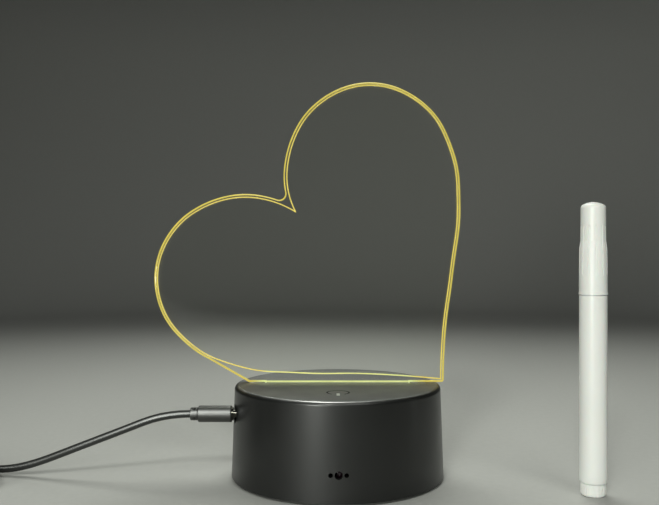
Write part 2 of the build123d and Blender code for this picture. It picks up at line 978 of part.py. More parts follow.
def plug_face():
    # Inner end of the plug's moulding, just outside the wall
    return -math.sqrt(housing_radius(jack_height) ** 2 - jack_setback**2) - plug_standoff


def plug_body():
    axis = (-jack_setback, jack_height)
    outer = plug_face() - plug_length
    body = rod(plug_diameter / 2, (outer, *axis), (plug_face(), *axis))
    return fillet(body.edges().filter_by(GeomType.CIRCLE), plug_diameter / 16)


def plug_collar():
    # Narrow end of the moulding, with a groove at its root and slots that let it bend
    axis = (-jack_setback, jack_height)
    root = plug_face() - plug_length
    groove = collar_length / 8
    collar = rod(collar_diameter / 2, (root - collar_length, *axis), (root - groove, *axis))
    collar = fillet(collar.edges().group_by(Axis.X)[0], collar_diameter / 12)
    slot = Box(collar_length * 0.3, collar_diameter / 4, collar_diameter / 4)
    for i in range(4):
        place = Pos(root - collar_length * 0.4, *axis) * Rot(90 - slot_turn + 90 * i, 0, 0)
        collar -= place * Pos(0, 0, collar_diameter / 2) * slot
    return collar + rod(collar_diameter * 0.44, (root - groove, *axis), (root, *axis))


def plug_barrel():
    # Hollow metal sleeve with a flange against the moulding
    axis = (-jack_setback, jack_height)
    face = plug_face()
    flange = rod(plug_diameter * 0.4, (face, *axis), (face + plug_standoff / 2, *axis))
    sleeve = rod(barrel_plug_diameter / 2, (face, *axis), (face + barrel_plug_length, *axis))
    sleeve = fillet(sleeve.edges().group_by(Axis.X)[-1], barrel_plug_diameter / 14)
    bore_radius = barrel_plug_diameter * 0.24
    bore_end = face + barrel_plug_length + overrun
    return flange + sleeve - rod(bore_radius, (face + plug_standoff, *axis), (bore_end, *axis))


def coil_low():
    # Middle of the lower layer, which lies on the tie
    return tie_thickness + tie_gap + cord_diameter / 2


def coil_place(t):
    # Spirals in, climbs a layer in half a turn and spirals out again, seen from above
    # counter-clockwise from the point farthest from the front
    half = coil_turns / 2
    pitch = cord_diameter + coil_gap
    radius = coil_radius - pitch * (half - np.abs(t - half))
    angle = math.pi / 2 + 2 * math.pi * t
    rise = np.clip((t - half) * 2 + 0.5, 0, 1)
    z = coil_low() + pitch * (3 - 2 * rise) * rise**2
    return np.stack([coil_x + radius * np.cos(angle), coil_y + radius * np.sin(angle), z], axis=-1)


# Route of the lead, from the plug's collar to the coil and from the coil to the charger plug
cord_start_x = plug_face() - plug_length - collar_length
coil_x = -158.0
coil_y = -25.0
run_points = [
    (cord_start_x, -jack_setback, jack_height),
    (-69.5, -jack_setback, jack_height),
    (-87.5, -8.4, 19.9),
    (-106.0, -6.2, 12.6),
    (-124.0, -3.4, 5.3),
    (-136.5, -1.5, 2.3),
    (-147.5, coil_y + coil_radius, coil_low()),
    (coil_x, coil_y + coil_radius, coil_low()),
]
tail_points = [
    (coil_x - coil_radius, coil_y, coil_low() + cord_diameter + coil_gap),
    (coil_x - coil_radius, -34.5, coil_low() + cord_diameter + coil_gap),
    (-182.7, -45.0, usb_body[2] / 2),
    (-182.7, -54.5, usb_body[2] / 2),
]


def cord_run():
    return tube(tube_path(run_points, cord_diameter, "cord run"), cord_diameter, "cord run")


def cord_tail():
    return tube(tube_path(tail_points, cord_diameter, "cord tail"), cord_diameter, "cord tail")


def cord_coil():
    # On arcs of an eighth of a turn and less; its ends lie square to the stretches that they meet
    half = coil_turns / 2
    quarters = np.linspace(0, coil_turns, round(4 * coil_turns) + 1)
    steps = np.unique(np.concatenate([quarters, [half - 0.25, half, half + 0.25]]))
    small = 1e-5
    tangents = unit(coil_place(steps + small) - coil_place(steps - small))
    tangents[0] = (-1, 0, 0)
    tangents[-1] = (0, -1, 0)
    gap = least_gap(coil_place(np.linspace(0, coil_turns, 900)), cord_diameter)
    print("cord coil least gap", round(gap, 2))
    return tube(Wire(biarcs(coil_place(steps), tangents)), cord_diameter, "cord coil")


def coil_tie():
    # Flat band round the whole bundle, on the side nearest the base
    pitch = cord_diameter + coil_gap
    t = np.arange(0.75, coil_turns, 1)
    middles = np.hypot(*(coil_place(t)[:, :2] - (coil_x, coil_y)).T)
    inner = middles.min() - cord_diameter / 2 - tie_gap
    outer = middles.max() + cord_diameter / 2 + tie_gap
    low = coil_low() - cord_diameter / 2 - tie_gap
    high = coil_low() + pitch + cord_diameter / 2 + tie_gap
    near, far = coil_y - tie_width / 2, coil_y + tie_width / 2
    band = block(
        (coil_x + inner - tie_thickness, coil_x + outer + tie_thickness),
        (near, far),
        (low - tie_thickness, high + tie_thickness),
    )
    band = fillet(band.edges().filter_by(Axis.Y), cord_diameter / 3)
    hole = block((coil_x + inner, coil_x + outer), (near - overrun, far + overrun), (low, high))
    return band - fillet(hole.edges().filter_by(Axis.Y), cord_diameter / 5)


def usb_place():
    # Where the cord enters the charger plug, which lies flat and points away from it
    return tail_points[-1]


def usb_plug_body():
    x, y, z = usb_place()
    wide, length, tall = usb_body
    start = y - usb_relief_length
    body = block((x - wide / 2, x + wide / 2), (start - length, start), (z - tall / 2, z + tall / 2))
    body = fillet(body.edges().filter_by(Axis.Y), tall / 5)
    body = fillet(body.edges().group_by(Axis.Y)[-1], tall / 8)
    # Five grip grooves across each broad side
    for i in range(5):
        middle = start - length * (0.3 + 0.1 * i)
        for side in (-1, 1):
            groove = Pos(x, middle, z + side * tall / 2) * Box(wide * 0.6, length / 30, tall / 12)
            body -= groove
    relief = Plane(origin=(x, start, z), z_dir=(0, 1, 0)) * Circle(tall * 0.36)
    relief_end = Plane(origin=(x, y, z), z_dir=(0, 1, 0)) * Circle(cord_diameter * 0.72)
    return body + loft([relief, relief_end])


def usb_plug_shell():
    # Folded metal sleeve, open at its front
    x, y, z = usb_place()
    wide, length, tall = usb_shell
    start = y - usb_relief_length - usb_body[1]
    shell = block((x - wide / 2, x + wide / 2), (start - length, start), (z - tall / 2, z + tall / 2))
    inside = block(
        (x - wide / 2 + usb_sheet, x + wide / 2 - usb_sheet),
        (start - length - overrun, start - usb_sheet),
        (z - tall / 2 + usb_sheet, z + tall / 2 - usb_sheet),
    )
    shell -= inside
    # Two square latch windows on each broad side
    for side in (-1, 1):
        middle = x + side * wide / 4
        window = wide / 10
        shell -= block(
            (middle - window, middle + window),
            (start - length * 0.58, start - length * 0.58 + 2 * window),
            (z - tall, z + tall),
        )
    return shell


def usb_tongue():
    x, y, z = usb_place()
    wide, length, tall = usb_shell
    start = y - usb_relief_length - usb_body[1] - usb_sheet
    inner_top = z + tall / 2 - usb_sheet
    return block(
        (x - wide / 2 + usb_sheet, x + wide / 2 - usb_sheet),
        (start - length * 0.9, start),
        (inner_top - tall * 0.42, inner_top - usb_sheet / 4),
    )


def usb_contacts():
    # Four gold strips under the tongue
    x, y, z = usb_place()
    wide, length, tall = usb_shell
    start = y - usb_relief_length - usb_body[1] - usb_sheet
    top = z + tall / 2 - usb_sheet - tall * 0.42
    strips = []
    for i in range(4):
        middle = x + (i - 1.5) * wide / 5.2
        strips.append(
            block(
                (middle - wide / 24, middle + wide / 24),
                (start - length * 0.82, start - length * 0.1),
                (top - usb_sheet * 0.6, top),
            )
        )
    return Compound(strips)


# Marker


def cap_mouth():
    return pen_length - cap_length


def barrel_low():
    return tail_length + seat_gap


def spigot_radius():
    return barrel_bore / 2 + spigot_step


def spigot_top():
    return cap_mouth() + cap_length * 0.3


def pen_barrel():
    # Tapered tube with a rounded shoulder at its tail and a spigot for the cap
    shoulder_top = barrel_low() + tail_length * 0.45
    neck = tail_diameter / 2 + seat_gap
    top = cap_mouth() - cap_gap
    solid = turned(
        [
            (0, barrel_low()),
            (neck, barrel_low()),
            (neck + (barrel_tail_diameter / 2 - neck) * 0.7, barrel_low() + tail_length * 0.13),
            (barrel_tail_diameter / 2, shoulder_top),
            (barrel_diameter / 2, top),
            (spigot_radius(), top),
            (spigot_radius(), spigot_top()),
            (0, spigot_top()),
        ],
        pen_x,
        pen_y,
    )
    low_bore = turned(
        [
            (0, barrel_low() - overrun),
            (barrel_bore / 2, barrel_low() - overrun),
            (barrel_bore / 2, top - seat_height),
            (nib_seat_radius(), top),
            (nib_seat_radius(), spigot_top() + overrun),
            (0, spigot_top() + overrun),
        ],
        pen_x,
        pen_y,
    )
    return solid - low_bore


def nib_seat_radius():
    return spigot_radius() * 0.8


def reservoir_top():
    return cap_mouth() - cap_length * 0.12


def pen_reservoir():
    low = tail_length * 2 + seat_gap
    radius = barrel_bore / 2 - reservoir_gap
    core = rod(radius, (pen_x, pen_y, low), (pen_x, pen_y, reservoir_top()))
    return fillet(core.edges().filter_by(GeomType.CIRCLE), reservoir_gap)


def pen_nib_holder():
    # Collar on the spigot with a cone that grips the nib
    rim = spigot_top()
    cone_top = rim + cap_length * 0.3
    inside = nib_diameter / 2 + seat_gap / 3
    return turned(
        [
            (inside, reservoir_top() + cap_gap),
            (nib_seat_radius() - seat_gap / 3, reservoir_top() + cap_gap),
            (nib_seat_radius() - seat_gap / 3, rim),
            (spigot_radius() * 0.93, rim),
            (spigot_radius() * 0.93, rim + cap_length * 0.03),
            (nib_diameter * 0.95, rim + cap_length * 0.08),
            (nib_diameter * 0.72, cone_top),
            (inside, cone_top),
        ],
        pen_x,
        pen_y,
    )


def pen_nib():
    top = spigot_top() + cap_length * 0.42
    start = (pen_x, pen_y, reservoir_top() + seat_gap / 3)
    nib = rod(nib_diameter / 2, start, (pen_x, pen_y, top))
    return fillet(nib.edges().group_by(Axis.Z)[-1], nib_diameter * 0.42)


def pen_tail_plug():
    # Fluted plug in the barrel's end
    base = rod(tail_diameter / 2, (pen_x, pen_y, 0), (pen_x, pen_y, tail_length))
    base = fillet(base.edges().group_by(Axis.Z)[0], tail_length * 0.24)
    count = 2 * rib_count
    depth = tail_diameter / 46
    for i in range(count):
        angle = 360 * i / count
        flute = Box(2 * depth, 2.6 * depth, tail_length * 0.9)
        middle = Pos(tail_diameter / 2, 0, tail_length * 0.55)
        base -= Pos(pen_x, pen_y, 0) * Rot(0, 0, angle) * middle * flute
    stem_top = (pen_x, pen_y, tail_length * 2)
    stem = rod(barrel_bore / 2 - seat_gap / 2, (pen_x, pen_y, tail_length), stem_top)
    return base + chamfer(stem.edges().group_by(Axis.Z)[-1], seat_gap * 2)


def pen_cap():
    # Domed narrow top that flares into a fluted grip, with a thin lip at its mouth
    grip_low = cap_mouth() + cap_mouth_length
    flare_high = pen_length - cap_length * 0.42
    flare_low = pen_length - cap_length * 0.50
    side = cap_top_diameter / 2
    crown_low = pen_length - cap_crown
    wall = Polyline(
        (0, pen_length),
        (0, cap_mouth()),
        (cap_mouth_diameter / 2, cap_mouth()),
        (cap_mouth_diameter / 2, grip_low),
        (cap_mouth_diameter / 2 - cap_mouth_length / 8, grip_low),
        (cap_grip_diameter / 2, flare_low),
        (side, flare_high),
        (side, crown_low),
    )
    crown = ThreePointArc((side, crown_low), (side / 2, pen_length - cap_crown / 4), (0, pen_length))
    profile = make_face([*wall.edges(), *crown.edges()])
    outside = Pos(pen_x, pen_y, 0) * revolve(Plane.XZ * profile, Axis.Z)
    rims = outside.edges().filter_by(lambda edge: edge.is_closed)
    outside = fillet(rims.group_by(Axis.Z)[-1], cap_crown)
    bore = spigot_radius() + seat_gap
    upper = bore * 0.8
    step = spigot_top() + cap_length * 0.05
    inside = turned(
        [
            (0, cap_mouth() - overrun),
            (bore, cap_mouth() - overrun),
            (bore, step),
            (upper, step + bore - upper),
            (upper, pen_length - cap_end),
            (0, pen_length - cap_end),
        ],
        pen_x,
        pen_y,
    )
    high, low = pen_length - cap_length * 0.255, pen_length - cap_length * 0.79
    deep_high = cap_top_diameter / 2 * 0.925
    deep_low = cap_grip_diameter / 2 * 0.95
    side = cap_mouth_diameter
    corners = ((deep_high, high), (side, high), (side, low), (deep_low, low))
    shadow = make_face(Polyline(*corners, close=True))
    groove = extrude(Plane.XZ * shadow, amount=cap_grip_diameter / 30, both=True)
    cap = outside
    for i in range(rib_count):
        angle = rib_turn - 90 + 360 * i / rib_count
        cap -= Pos(pen_x, pen_y, 0) * Rot(0, 0, angle) * groove
    return cap - inside


pieces = {
    "base_shell": base_shell,
    "bottom_cover": bottom_cover,
    "rubber_feet": rubber_feet,
    "cover_screws": cover_screws,
    "battery_door": battery_door,
    "aa_cells": aa_cells,
    "contact_plates": contact_plates,
    "contact_springs": contact_springs,
    "slot_guide": slot_guide,
    "guide_screws": guide_screws,
    "led_board": led_board,
    "led_chips": led_chips,
    "led_leads": led_leads,
    "main_board": main_board,
    "board_screws": board_screws,
    "controller_chip": controller_chip,
    "chip_resistors": chip_resistors,
    "lead_socket": lead_socket,
    "capacitor": capacitor,
    "touch_spring": touch_spring,
    "ir_receiver": ir_receiver,
    "receiver_legs": receiver_legs,
    "battery_leads": battery_leads,
    "dc_jack": dc_jack,
    "jack_pin": jack_pin,
    "writing_plate": writing_plate,
    "plug_body": plug_body,
    "plug_collar": plug_collar,
    "plug_barrel": plug_barrel,
    "cord_run": cord_run,
    "cord_coil": cord_coil,
    "cord_tail": cord_tail,
    "coil_tie": coil_tie,
    "usb_plug_body": usb_plug_body,
    "usb_plug_shell": usb_plug_shell,
    "usb_tongue": usb_tongue,
    "usb_contacts": usb_contacts,
    "pen_barrel": pen_barrel,
    "pen_tail_plug": pen_tail_plug,
    "pen_reservoir": pen_reservoir,
    "pen_nib_holder": pen_nib_holder,
    "pen_nib": pen_nib,
    "pen_cap": pen_cap,
}

os.makedirs("parts", exist_ok=True)
for name, make in pieces.items():
    export_step(make(), f"parts/{name}.step")
    print("made", name)
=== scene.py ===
import math

import bpy
import numpy as np
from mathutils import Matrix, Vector


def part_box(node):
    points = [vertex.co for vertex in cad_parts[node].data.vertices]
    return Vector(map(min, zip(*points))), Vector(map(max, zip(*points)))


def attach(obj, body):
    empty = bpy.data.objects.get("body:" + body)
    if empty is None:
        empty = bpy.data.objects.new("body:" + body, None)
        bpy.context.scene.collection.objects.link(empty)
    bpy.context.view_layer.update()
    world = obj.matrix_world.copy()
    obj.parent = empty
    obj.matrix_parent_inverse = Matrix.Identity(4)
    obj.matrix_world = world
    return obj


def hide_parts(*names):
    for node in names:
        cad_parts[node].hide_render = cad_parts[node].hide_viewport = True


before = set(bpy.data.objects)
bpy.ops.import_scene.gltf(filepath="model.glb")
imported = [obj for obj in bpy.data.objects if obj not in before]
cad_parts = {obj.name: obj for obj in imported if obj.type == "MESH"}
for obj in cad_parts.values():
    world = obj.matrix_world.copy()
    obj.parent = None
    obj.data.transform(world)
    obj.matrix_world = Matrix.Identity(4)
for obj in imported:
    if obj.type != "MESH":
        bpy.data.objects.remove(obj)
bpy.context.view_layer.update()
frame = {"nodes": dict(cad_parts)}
nodes = frame["nodes"]
mm = 0.001
scene = bpy.context.scene
scene.view_settings.view_transform = "Standard"

# Helpers


def srgb(hexCode):
    # sRGB hex to the linear values that shaders take, by the curve of the sRGB standard
    parts = np.array([int(hexCode[i : i + 2], 16) for i in (1, 3, 5)]) / 255
    linear = np.where(parts <= 0.04045, parts / 12.92, ((parts + 0.055) / 1.055) ** 2.4)
    return (*linear.tolist(), 1.0)


def addNode(tree, kind, settings, links, output=0):
    # One shader node: settings are its own options or its sockets' values, links feed its
    # sockets, and what comes back is one of its outputs
    node = tree.nodes.new("ShaderNode" + kind)
    for key, value in settings.items():
        if isinstance(key, str) and hasattr(node, key):
            setattr(node, key, value)
        else:
            node.inputs[key].default_value = value
    for key, socket in links.items():
        tree.links.new(socket, node.inputs[key])
    return node.outputs[output]


def newMaterial(name, **sockets):
    # A material, its tree, its shader, and the object coordinates that its patterns read
    material = bpy.data.materials.new(name)
    material.use_nodes = True
    tree = material.node_tree
    shader = next(node for node in tree.nodes if node.type == "BSDF_PRINCIPLED")
    for key, value in sockets.items():
        shader.inputs[key.replace("_", " ")].default_value = value
    return material, tree, shader, addNode(tree, "TexCoord", {}, {}, "Object")


def gridMesh(name, surface):
    # Mesh over a grid of points, an array of shape (rows, around, 3), closed round each row
    # and with its first and last rows capped
    rows, around = surface.shape[:2]
    index = np.arange(rows * around).reshape(rows, around)
    ring = np.hstack([index, index[:, :1]])
    corners = [ring[:-1, :-1], ring[:-1, 1:], ring[1:, 1:], ring[1:, :-1]]
    faces = np.stack(corners, axis=-1).reshape(-1, 4).tolist()
    faces += [index[0, ::-1].tolist(), index[-1].tolist()]
    mesh = bpy.data.meshes.new(name)
    mesh.from_pydata(surface.reshape(-1, 3).tolist(), [], faces)
    mesh.shade_smooth()
    piece = bpy.data.objects.new(name, mesh)
    scene.collection.objects.link(piece)
    return piece


# Camera: level, at the height and distance that the base's two rims give, in mm

cameraLook = {"place": (-3.31, -329.8, 91.9), "lens": 43.48, "sensor": 36.0, "nearest": 10.0}

camera = bpy.data.objects.new("camera", bpy.data.cameras.new("camera"))
camera.data.lens = cameraLook["lens"]
camera.data.sensor_width = cameraLook["sensor"]
camera.data.clip_start = cameraLook["nearest"] * mm
camera.location = Vector(cameraLook["place"]) * mm
camera.rotation_euler = (math.pi / 2, 0, 0)
scene.collection.objects.link(camera)
scene.camera = camera

leadLook = {
    "diameter": 3.1,
    "run": [
        (-69.5, -10.0, 27.1),
        (-87.5, -8.4, 19.9),
        (-106.0, -6.2, 12.6),
        (-124.0, -3.4, 5.3),
        (-136.5, -1.5, 2.3),
        (-147.5, -1.0, 2.85),
        (-158.0, -1.0, 2.85),
    ],
    "coilMiddle": (-158.0, -25.0),
    "coilRadius": 24.0,  # to the middle of the outermost turn
    "coilTurns": 7.25,
    "coilPitch": 3.55,
    "coilLow": 2.85,
    "pointsPerTurn": 24,
    "climbTurns": 0.5,  # how much of a turn the climb to the upper layer takes
    "tail": [
        (-182.0, -25.0, 6.4),
        (-182.0, -34.5, 6.4),
        (-182.7, -45.0, 4.0),
        (-182.7, -54.5, 4.0),
    ],
    "length": 0.935,
    "roundSteps": 5,  # steps round a quarter of the jacket
    "pathSteps": 5,  # steps between two points of the path
    "carries": [
        "plug_body",
        "plug_collar",
        "plug_barrel",
        "coil_tie",
        "usb_plug_body",
        "usb_plug_shell",
        "usb_tongue",
        "usb_contacts",
    ],
}


def coilPoints(look):
    # Flat spiral: the radius shrinks by a pitch a turn to the middle, then grows back on the
    # layer above, a pitch higher. The climb s between the layers is smooth: 3 s^2 - 2 s^3.
    t = np.arange(1, look["coilTurns"] * look["pointsPerTurn"]) / look["pointsPerTurn"]
    half = look["coilTurns"] / 2
    radius = look["coilRadius"] - look["coilPitch"] * (half - np.abs(t - half))
    angle = math.pi / 2 + 2 * math.pi * t
    rise = np.clip((t - half) / look["climbTurns"] + 0.5, 0, 1)
    x = look["coilMiddle"][0] + radius * np.cos(angle)
    y = look["coilMiddle"][1] + radius * np.sin(angle)
    z = look["coilLow"] + look["coilPitch"] * (3 - 2 * rise) * rise**2
    return np.stack([x, y, z], axis=-1)


def makeLead(look):
    # One spline from the plug's collar down to the table, round the coil and to the charger
    # plug. Its thickness is in the points' radius, because a curve's box counts that radius.
    start = (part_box("plug_collar")[0].x / mm, *look["run"][0][1:])
    points = np.vstack([[start], look["run"], coilPoints(look), look["tail"]]) * mm
    curve = bpy.data.curves.new("powerLead", "CURVE")
    curve.dimensions = "3D"
    curve.bevel_depth = 1.0
    curve.bevel_resolution = look["roundSteps"]
    curve.resolution_u = look["pathSteps"]
    curve.use_fill_caps = True
    spline = curve.splines.new("NURBS")
    spline.points.add(len(points) - 1)
    spline.points.foreach_set("co", np.hstack([points, np.ones((len(points), 1))]).ravel())
    spline.points.foreach_set("radius", np.full(len(points), look["diameter"] / 2 * mm))
    spline.order_u = 3
    spline.use_endpoint_u = True
    piece = bpy.data.objects.new("powerLead", curve)
    scene.collection.objects.link(piece)
    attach(piece, "lead")
    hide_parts("cord_run", "cord_coil", "cord_tail")
    return piece


lead = makeLead(leadLook)
print("camera and power lead made")

# Materials. Each function lays its look over the plain values above it. Sizes of patterns
# and depths of bumps are in mm, and noiseSpan is where most of a noise's values lie.

noiseSpan = {"From Min": 0.3, "From Max": 0.7}

plainPlastic = {
    "ior": 1.54,
    "specular": 0.5,
    "coat": 0.0,
    "coatRoughness": 0.2,
    "subsurface": 0.0,
    "skinReach": 1.5,  # how far light travels under the skin
    "shade": 0.85,  # the darkest clouds beside the colour
    "cloud": 14.0,
    "glossier": -0.03,  # roughness of the glossiest clouds beside the even one
    "duller": 0.04,
    "grain": 0.5,
    "depth": 0.012,
}


def mouldedPlastic(name, values):
    # Injection-moulded plastic, such as ABS: satin, with the even fine grain of its mould and
    # slow clouds in tone and gloss, and where the mould was polished a thin glossy skin. The
    # mould's own grain is under 0.1 mm and is drawn coarser, so that it shows.
    look = {**plainPlastic, **values}
    material, tree, shader, place = newMaterial(
        name,
        IOR=look["ior"],
        Specular_IOR_Level=look["specular"],
        Subsurface_Weight=look["subsurface"],
        Subsurface_Scale=look["skinReach"] * mm,
        Coat_Weight=look["coat"],
        Coat_Roughness=look["coatRoughness"],
    )
    cloudScale = {"Scale": 1 / (look["cloud"] * mm), "Detail": 2.0}
    clouds = addNode(tree, "TexNoise", cloudScale, {"Vector": place})
    grainScale = {"Scale": 1 / (look["grain"] * mm), "Detail": 4.0}
    grain = addNode(tree, "TexNoise", grainScale, {"Vector": place})
    darkest = tuple(look["shade"] * part for part in srgb(look["colour"])[:3]) + (1.0,)
    ends = {"data_type": "RGBA", 6: darkest, 7: srgb(look["colour"])}
    tone = addNode(tree, "Mix", ends, {0: clouds}, 2)
    tree.links.new(tone, shader.inputs["Base Color"])
    gloss = {"To Min": look["roughness"] + look["glossier"]}
    gloss["To Max"] = look["roughness"] + look["duller"]
    sheen = addNode(tree, "MapRange", {**noiseSpan, **gloss}, {"Value": clouds})
    tree.links.new(sheen, shader.inputs["Roughness"])
    bump = addNode(tree, "Bump", {"Distance": look["depth"] * mm}, {"Height": grain})
    tree.links.new(bump, shader.inputs["Normal"])
    return material


plateLook = {
    "ior": 1.49,
    "tint": "#FCFDFA",
    # base colour of a lit spot: the glow's yellow painted into the colour, over the real
    # frosting
    "frostAndPaintedGlow": "#8C7F20",
    "glow": "#DECD66",
    "paleGlow": "#E0F2A8",
    "paleUpTo": 40.5,
    "yellowFrom": 45.5,
    "lampReach": 29.0,  # how far the row of lamps reaches from the middle
    "strength": 0.72,
    "foot": 38.0,
    "top": 162.0,
    "topShare": 0.88,  # light left at the top of the heart
    "patch": 9.0,
    "dimPatch": 0.86,
    "brightPatch": 1.08,
    "bevelBelow": 0.9,  # how much of its normal lies across the sheet on a bevel
    "cutBelow": 0.3,  # and on the cut edge
    "facePlane": 0.5,  # the front face's distance behind the base's middle
    "lineFrom": 0.2,  # depths under the face between which a spot is in the engraved line
    "lineTo": 0.6,
    "edgeShare": 0.16,  # glow of the cut edge beside that of the lines
    "slotHeight": 38.05,  # the tongue is below this
    "bandHeight": 1.2,
    "bandShare": 0.32,
    "clearLeft": 0.05,  # how clear a lit spot stays
    "polish": 0.02,
    "cutRoughness": 0.5,
}


def castAcrylic(name, look):
    # Clear cast acrylic, cut by laser: the faces are all but invisible, while the bevelled
    # edge and the engraved line scatter the lamps' light that runs inside the sheet. A spot
    # is lit where its face is neither front nor back, or where it lies deeper than the face.
    # Below the slot's height only the cut edge is lit, and a band where the tongue leaves the
    # slot: its share grows with height, from 0 at the band's foot to bandShare at the slot.
    # The light is palest right over the lamps, because little of its white has been lost
    # there: what counts is the height plus how far a spot lies beyond the row of lamps.
    material, tree, shader, place = newMaterial(
        name, IOR=look["ior"], Emission_Strength=look["strength"]
    )
    normal = addNode(tree, "TexCoord", {}, {}, "Normal")
    across = addNode(tree, "SeparateXYZ", {}, {0: normal}, "Y")
    depth = addNode(tree, "SeparateXYZ", {}, {0: place}, "Y")
    height = addNode(tree, "SeparateXYZ", {}, {0: place}, "Z")
    along = addNode(tree, "SeparateXYZ", {}, {0: place}, "X")

    # Where the plate is lit
    flat = addNode(tree, "Math", {"operation": "ABSOLUTE"}, {0: across})
    bevelled = {"operation": "LESS_THAN", 1: look["bevelBelow"]}
    slanted = addNode(tree, "Math", bevelled, {0: flat})
    upright = {"operation": "LESS_THAN", 1: look["cutBelow"]}
    cut = addNode(tree, "Math", upright, {0: flat})
    pastFace = {"operation": "GREATER_THAN", 1: (look["facePlane"] + look["lineFrom"]) * mm}
    sunk = addNode(tree, "Math", pastFace, {0: depth})
    beforeMiddle = {"operation": "LESS_THAN", 1: (look["facePlane"] + look["lineTo"]) * mm}
    front = addNode(tree, "Math", beforeMiddle, {0: depth})
    line = addNode(tree, "Math", {"operation": "MULTIPLY"}, {0: sunk, 1: front})
    only = {"operation": "SUBTRACT", "use_clamp": True}
    bevel = addNode(tree, "Math", only, {0: slanted, 1: cut})
    lit = addNode(tree, "Math", {"operation": "MAXIMUM"}, {0: bevel, 1: line})
    edge = addNode(tree, "Math", {"operation": "MULTIPLY", 1: look["edgeShare"]}, {0: cut})
    cutOrLine = addNode(tree, "Math", {"operation": "MAXIMUM"}, {0: lit, 1: edge})
    outOfSlot = {"operation": "GREATER_THAN", 1: look["slotHeight"] * mm}
    above = addNode(tree, "Math", outOfSlot, {0: height})
    band = {"From Min": (look["slotHeight"] - look["bandHeight"]) * mm}
    band.update({"From Max": look["slotHeight"] * mm, "To Max": look["bandShare"]})
    mouth = addNode(tree, "MapRange", band, {"Value": height})
    below = addNode(tree, "Math", {"operation": "MAXIMUM"}, {0: edge, 1: mouth})
    choice = {0: above, 2: below, 3: cutOrLine}
    share = addNode(tree, "Mix", {"data_type": "FLOAT"}, choice)

    # How strongly, and in what colour
    span = {"From Min": look["foot"] * mm, "From Max": look["top"] * mm}
    span.update({"To Min": 1.0, "To Max": look["topShare"]})
    fade = addNode(tree, "MapRange", span, {"Value": height})
    patchScale = {"Scale": 1 / (look["patch"] * mm), "Detail": 3.0}
    patches = addNode(tree, "TexNoise", patchScale, {"Vector": place})
    uneven = {**noiseSpan, "To Min": look["dimPatch"], "To Max": look["brightPatch"]}
    patchy = addNode(tree, "MapRange", uneven, {"Value": patches})
    strength = addNode(tree, "Math", {"operation": "MULTIPLY"}, {0: fade, 1: patchy})
    glow = addNode(tree, "Math", {"operation": "MULTIPLY"}, {0: share, 1: strength})
    offMiddle = addNode(tree, "Math", {"operation": "ABSOLUTE"}, {0: along})
    pastLamps = {"operation": "SUBTRACT", "use_clamp": True, 1: look["lampReach"] * mm}
    beyond = addNode(tree, "Math", pastLamps, {0: offMiddle})
    far = addNode(tree, "Math", {"operation": "ADD"}, {0: height, 1: beyond})
    change = {"From Min": look["paleUpTo"] * mm, "From Max": look["yellowFrom"] * mm}
    away = addNode(tree, "MapRange", change, {"Value": far})
    hues = {"data_type": "RGBA", 6: srgb(look["paleGlow"]), 7: srgb(look["glow"])}
    hue = addNode(tree, "Mix", hues, {0: away}, 2)
    dark = {"data_type": "RGBA", 6: (0.0, 0.0, 0.0, 1.0)}
    light = addNode(tree, "Mix", dark, {0: glow, 7: hue}, 2)
    tree.links.new(light, shader.inputs["Emission Color"])

    # Clear, or frosted where lit: real roughness and lower transmission there, with the lamps'
    # yellow painted into the base colour as a painted glow
    body = {"data_type": "RGBA", 6: srgb(look["tint"]), 7: srgb(look["frostAndPaintedGlow"])}
    tree.links.new(addNode(tree, "Mix", body, {0: share}, 2), shader.inputs["Base Color"])
    clear = {"To Min": 1.0, "To Max": look["clearLeft"]}
    clearness = addNode(tree, "MapRange", clear, {"Value": share})
    tree.links.new(clearness, shader.inputs["Transmission Weight"])
    rubbed = addNode(tree, "Math", {"operation": "MAXIMUM"}, {0: slanted, 1: line})
    gloss = {"To Min": look["polish"], "To Max": look["cutRoughness"]}
    frost = addNode(tree, "MapRange", gloss, {"Value": rubbed})
    tree.links.new(frost, shader.inputs["Roughness"])
    return material


plainMetal = {
    "stretch": (0.12, 1.0, 1.0),  # the marks run along X
    "mark": 0.35,
    "brighter": 0.8,  # share of the roughness in the brightest marks
    "duller": 1.3,
    "depth": 0.004,
}


def platedMetal(name, values):
    # Pressed or turned metal under nickel, zinc or gold plate: bright, with faint marks of
    # drawing along X. Real marks are a tenth as wide and are drawn coarser, so that they show.
    look = {**plainMetal, **values}
    material, tree, shader, place = newMaterial(
        name, Metallic=1.0, Base_Color=srgb(look["colour"])
    )
    drawn = addNode(tree, "Mapping", {"Scale": look["stretch"]}, {"Vector": place})
    markScale = {"Scale": 1 / (look["mark"] * mm), "Detail": 2.0}
    marks = addNode(tree, "TexNoise", markScale, {"Vector": drawn})
    gloss = {"To Min": look["roughness"] * look["brighter"]}
    gloss["To Max"] = look["roughness"] * look["duller"]
    sheen = addNode(tree, "MapRange", {**noiseSpan, **gloss}, {"Value": marks})
    tree.links.new(sheen, shader.inputs["Roughness"])
    bump = addNode(tree, "Bump", {"Distance": look["depth"] * mm}, {"Height": marks})
    tree.links.new(bump, shader.inputs["Normal"])
    return material


plainFibre = {
    "roughness": 0.95,
    "sheen": 0.4,
    "stretch": (1.0, 1.0, 0.1),  # the strands run along Z
    "strand": 0.25,
    "depth": 0.08,
}


